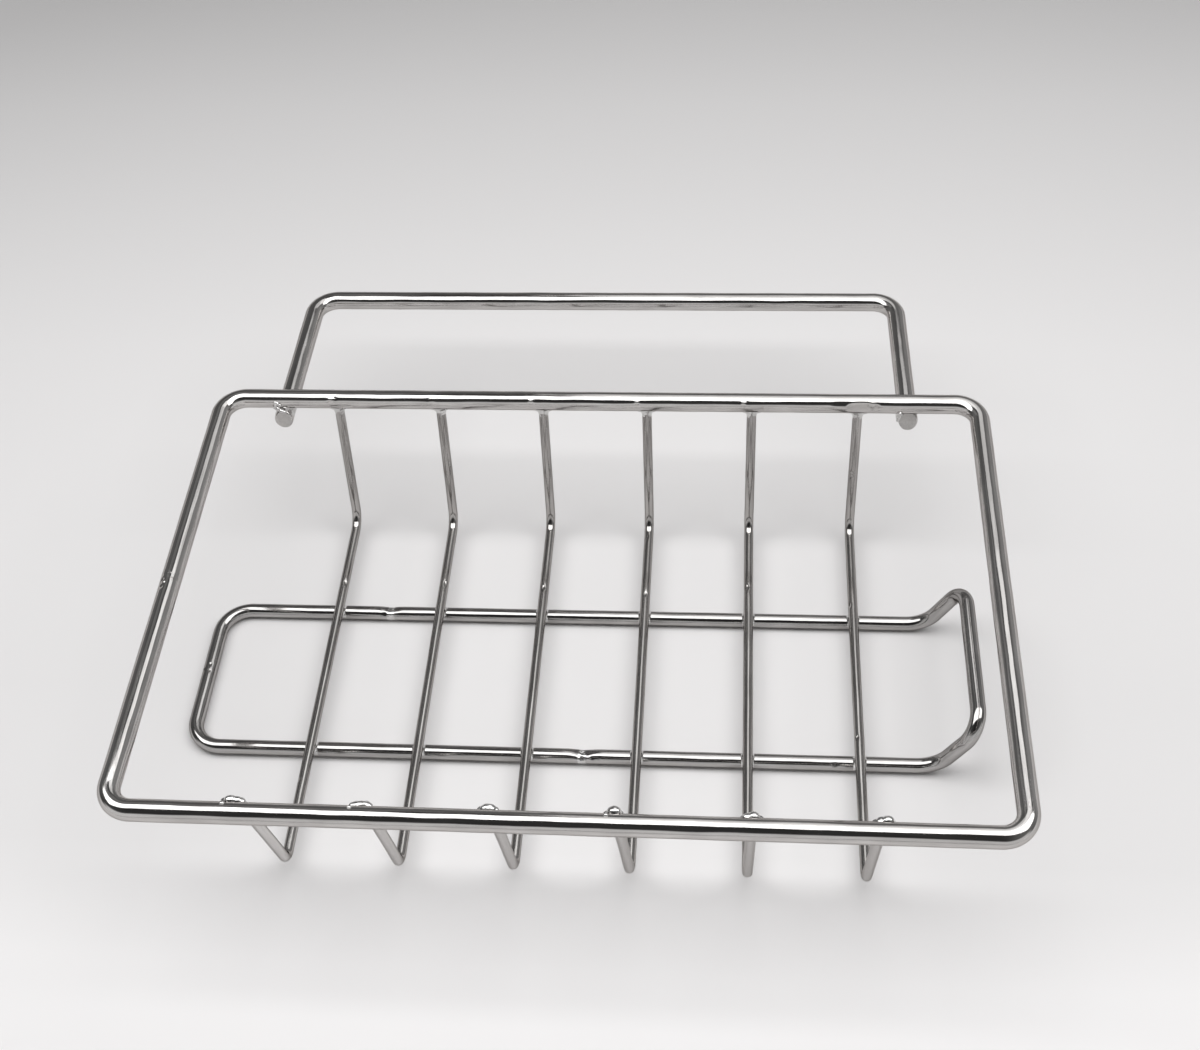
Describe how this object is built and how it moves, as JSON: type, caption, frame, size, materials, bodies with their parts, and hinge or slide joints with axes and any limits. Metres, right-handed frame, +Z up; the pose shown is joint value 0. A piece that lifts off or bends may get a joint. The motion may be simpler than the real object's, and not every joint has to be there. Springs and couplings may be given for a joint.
{
  "type": "wire sponge holder",
  "caption": "Open wire basket for a sponge: a rounded rim, bent floor wires, a base loop turned up at one end and a U-shaped rear hanger, welded together.",
  "frame": {"origin": "on the plane that the base loop rests on, below the middle of the rim", "axes": "+X to the right along the rim's long side, towards the turned-up end of the base loop; +Y to the rear, towards the hanger; +Z up"},
  "size_m": [0.1607, 0.1379, 0.0372],
  "materials": {
    "polished_wire": "polished",
    "weld_metal": "bright, slightly rough"
  },
  "bodies": {
    "root": {"top_rim": "polished_wire", "base_loop_left": "polished_wire", "base_loop_right": "polished_wire", "rear_hanger": "polished_wire", "cradle_wire_1": "polished_wire", "cradle_wire_2": "polished_wire", "cradle_wire_3": "polished_wire", "cradle_wire_4": "polished_wire", "cradle_wire_5": "polished_wire", "cradle_wire_6": "polished_wire", "rim_butt_weld": "weld_metal", "base_loop_butt_welds": "weld_metal", "base_cross_welds": "weld_metal", "rear_wall_welds": "weld_metal", "hanger_welds": "weld_metal", "front_wall_welds": "weld_metal"}
  },
  "joints": []
}
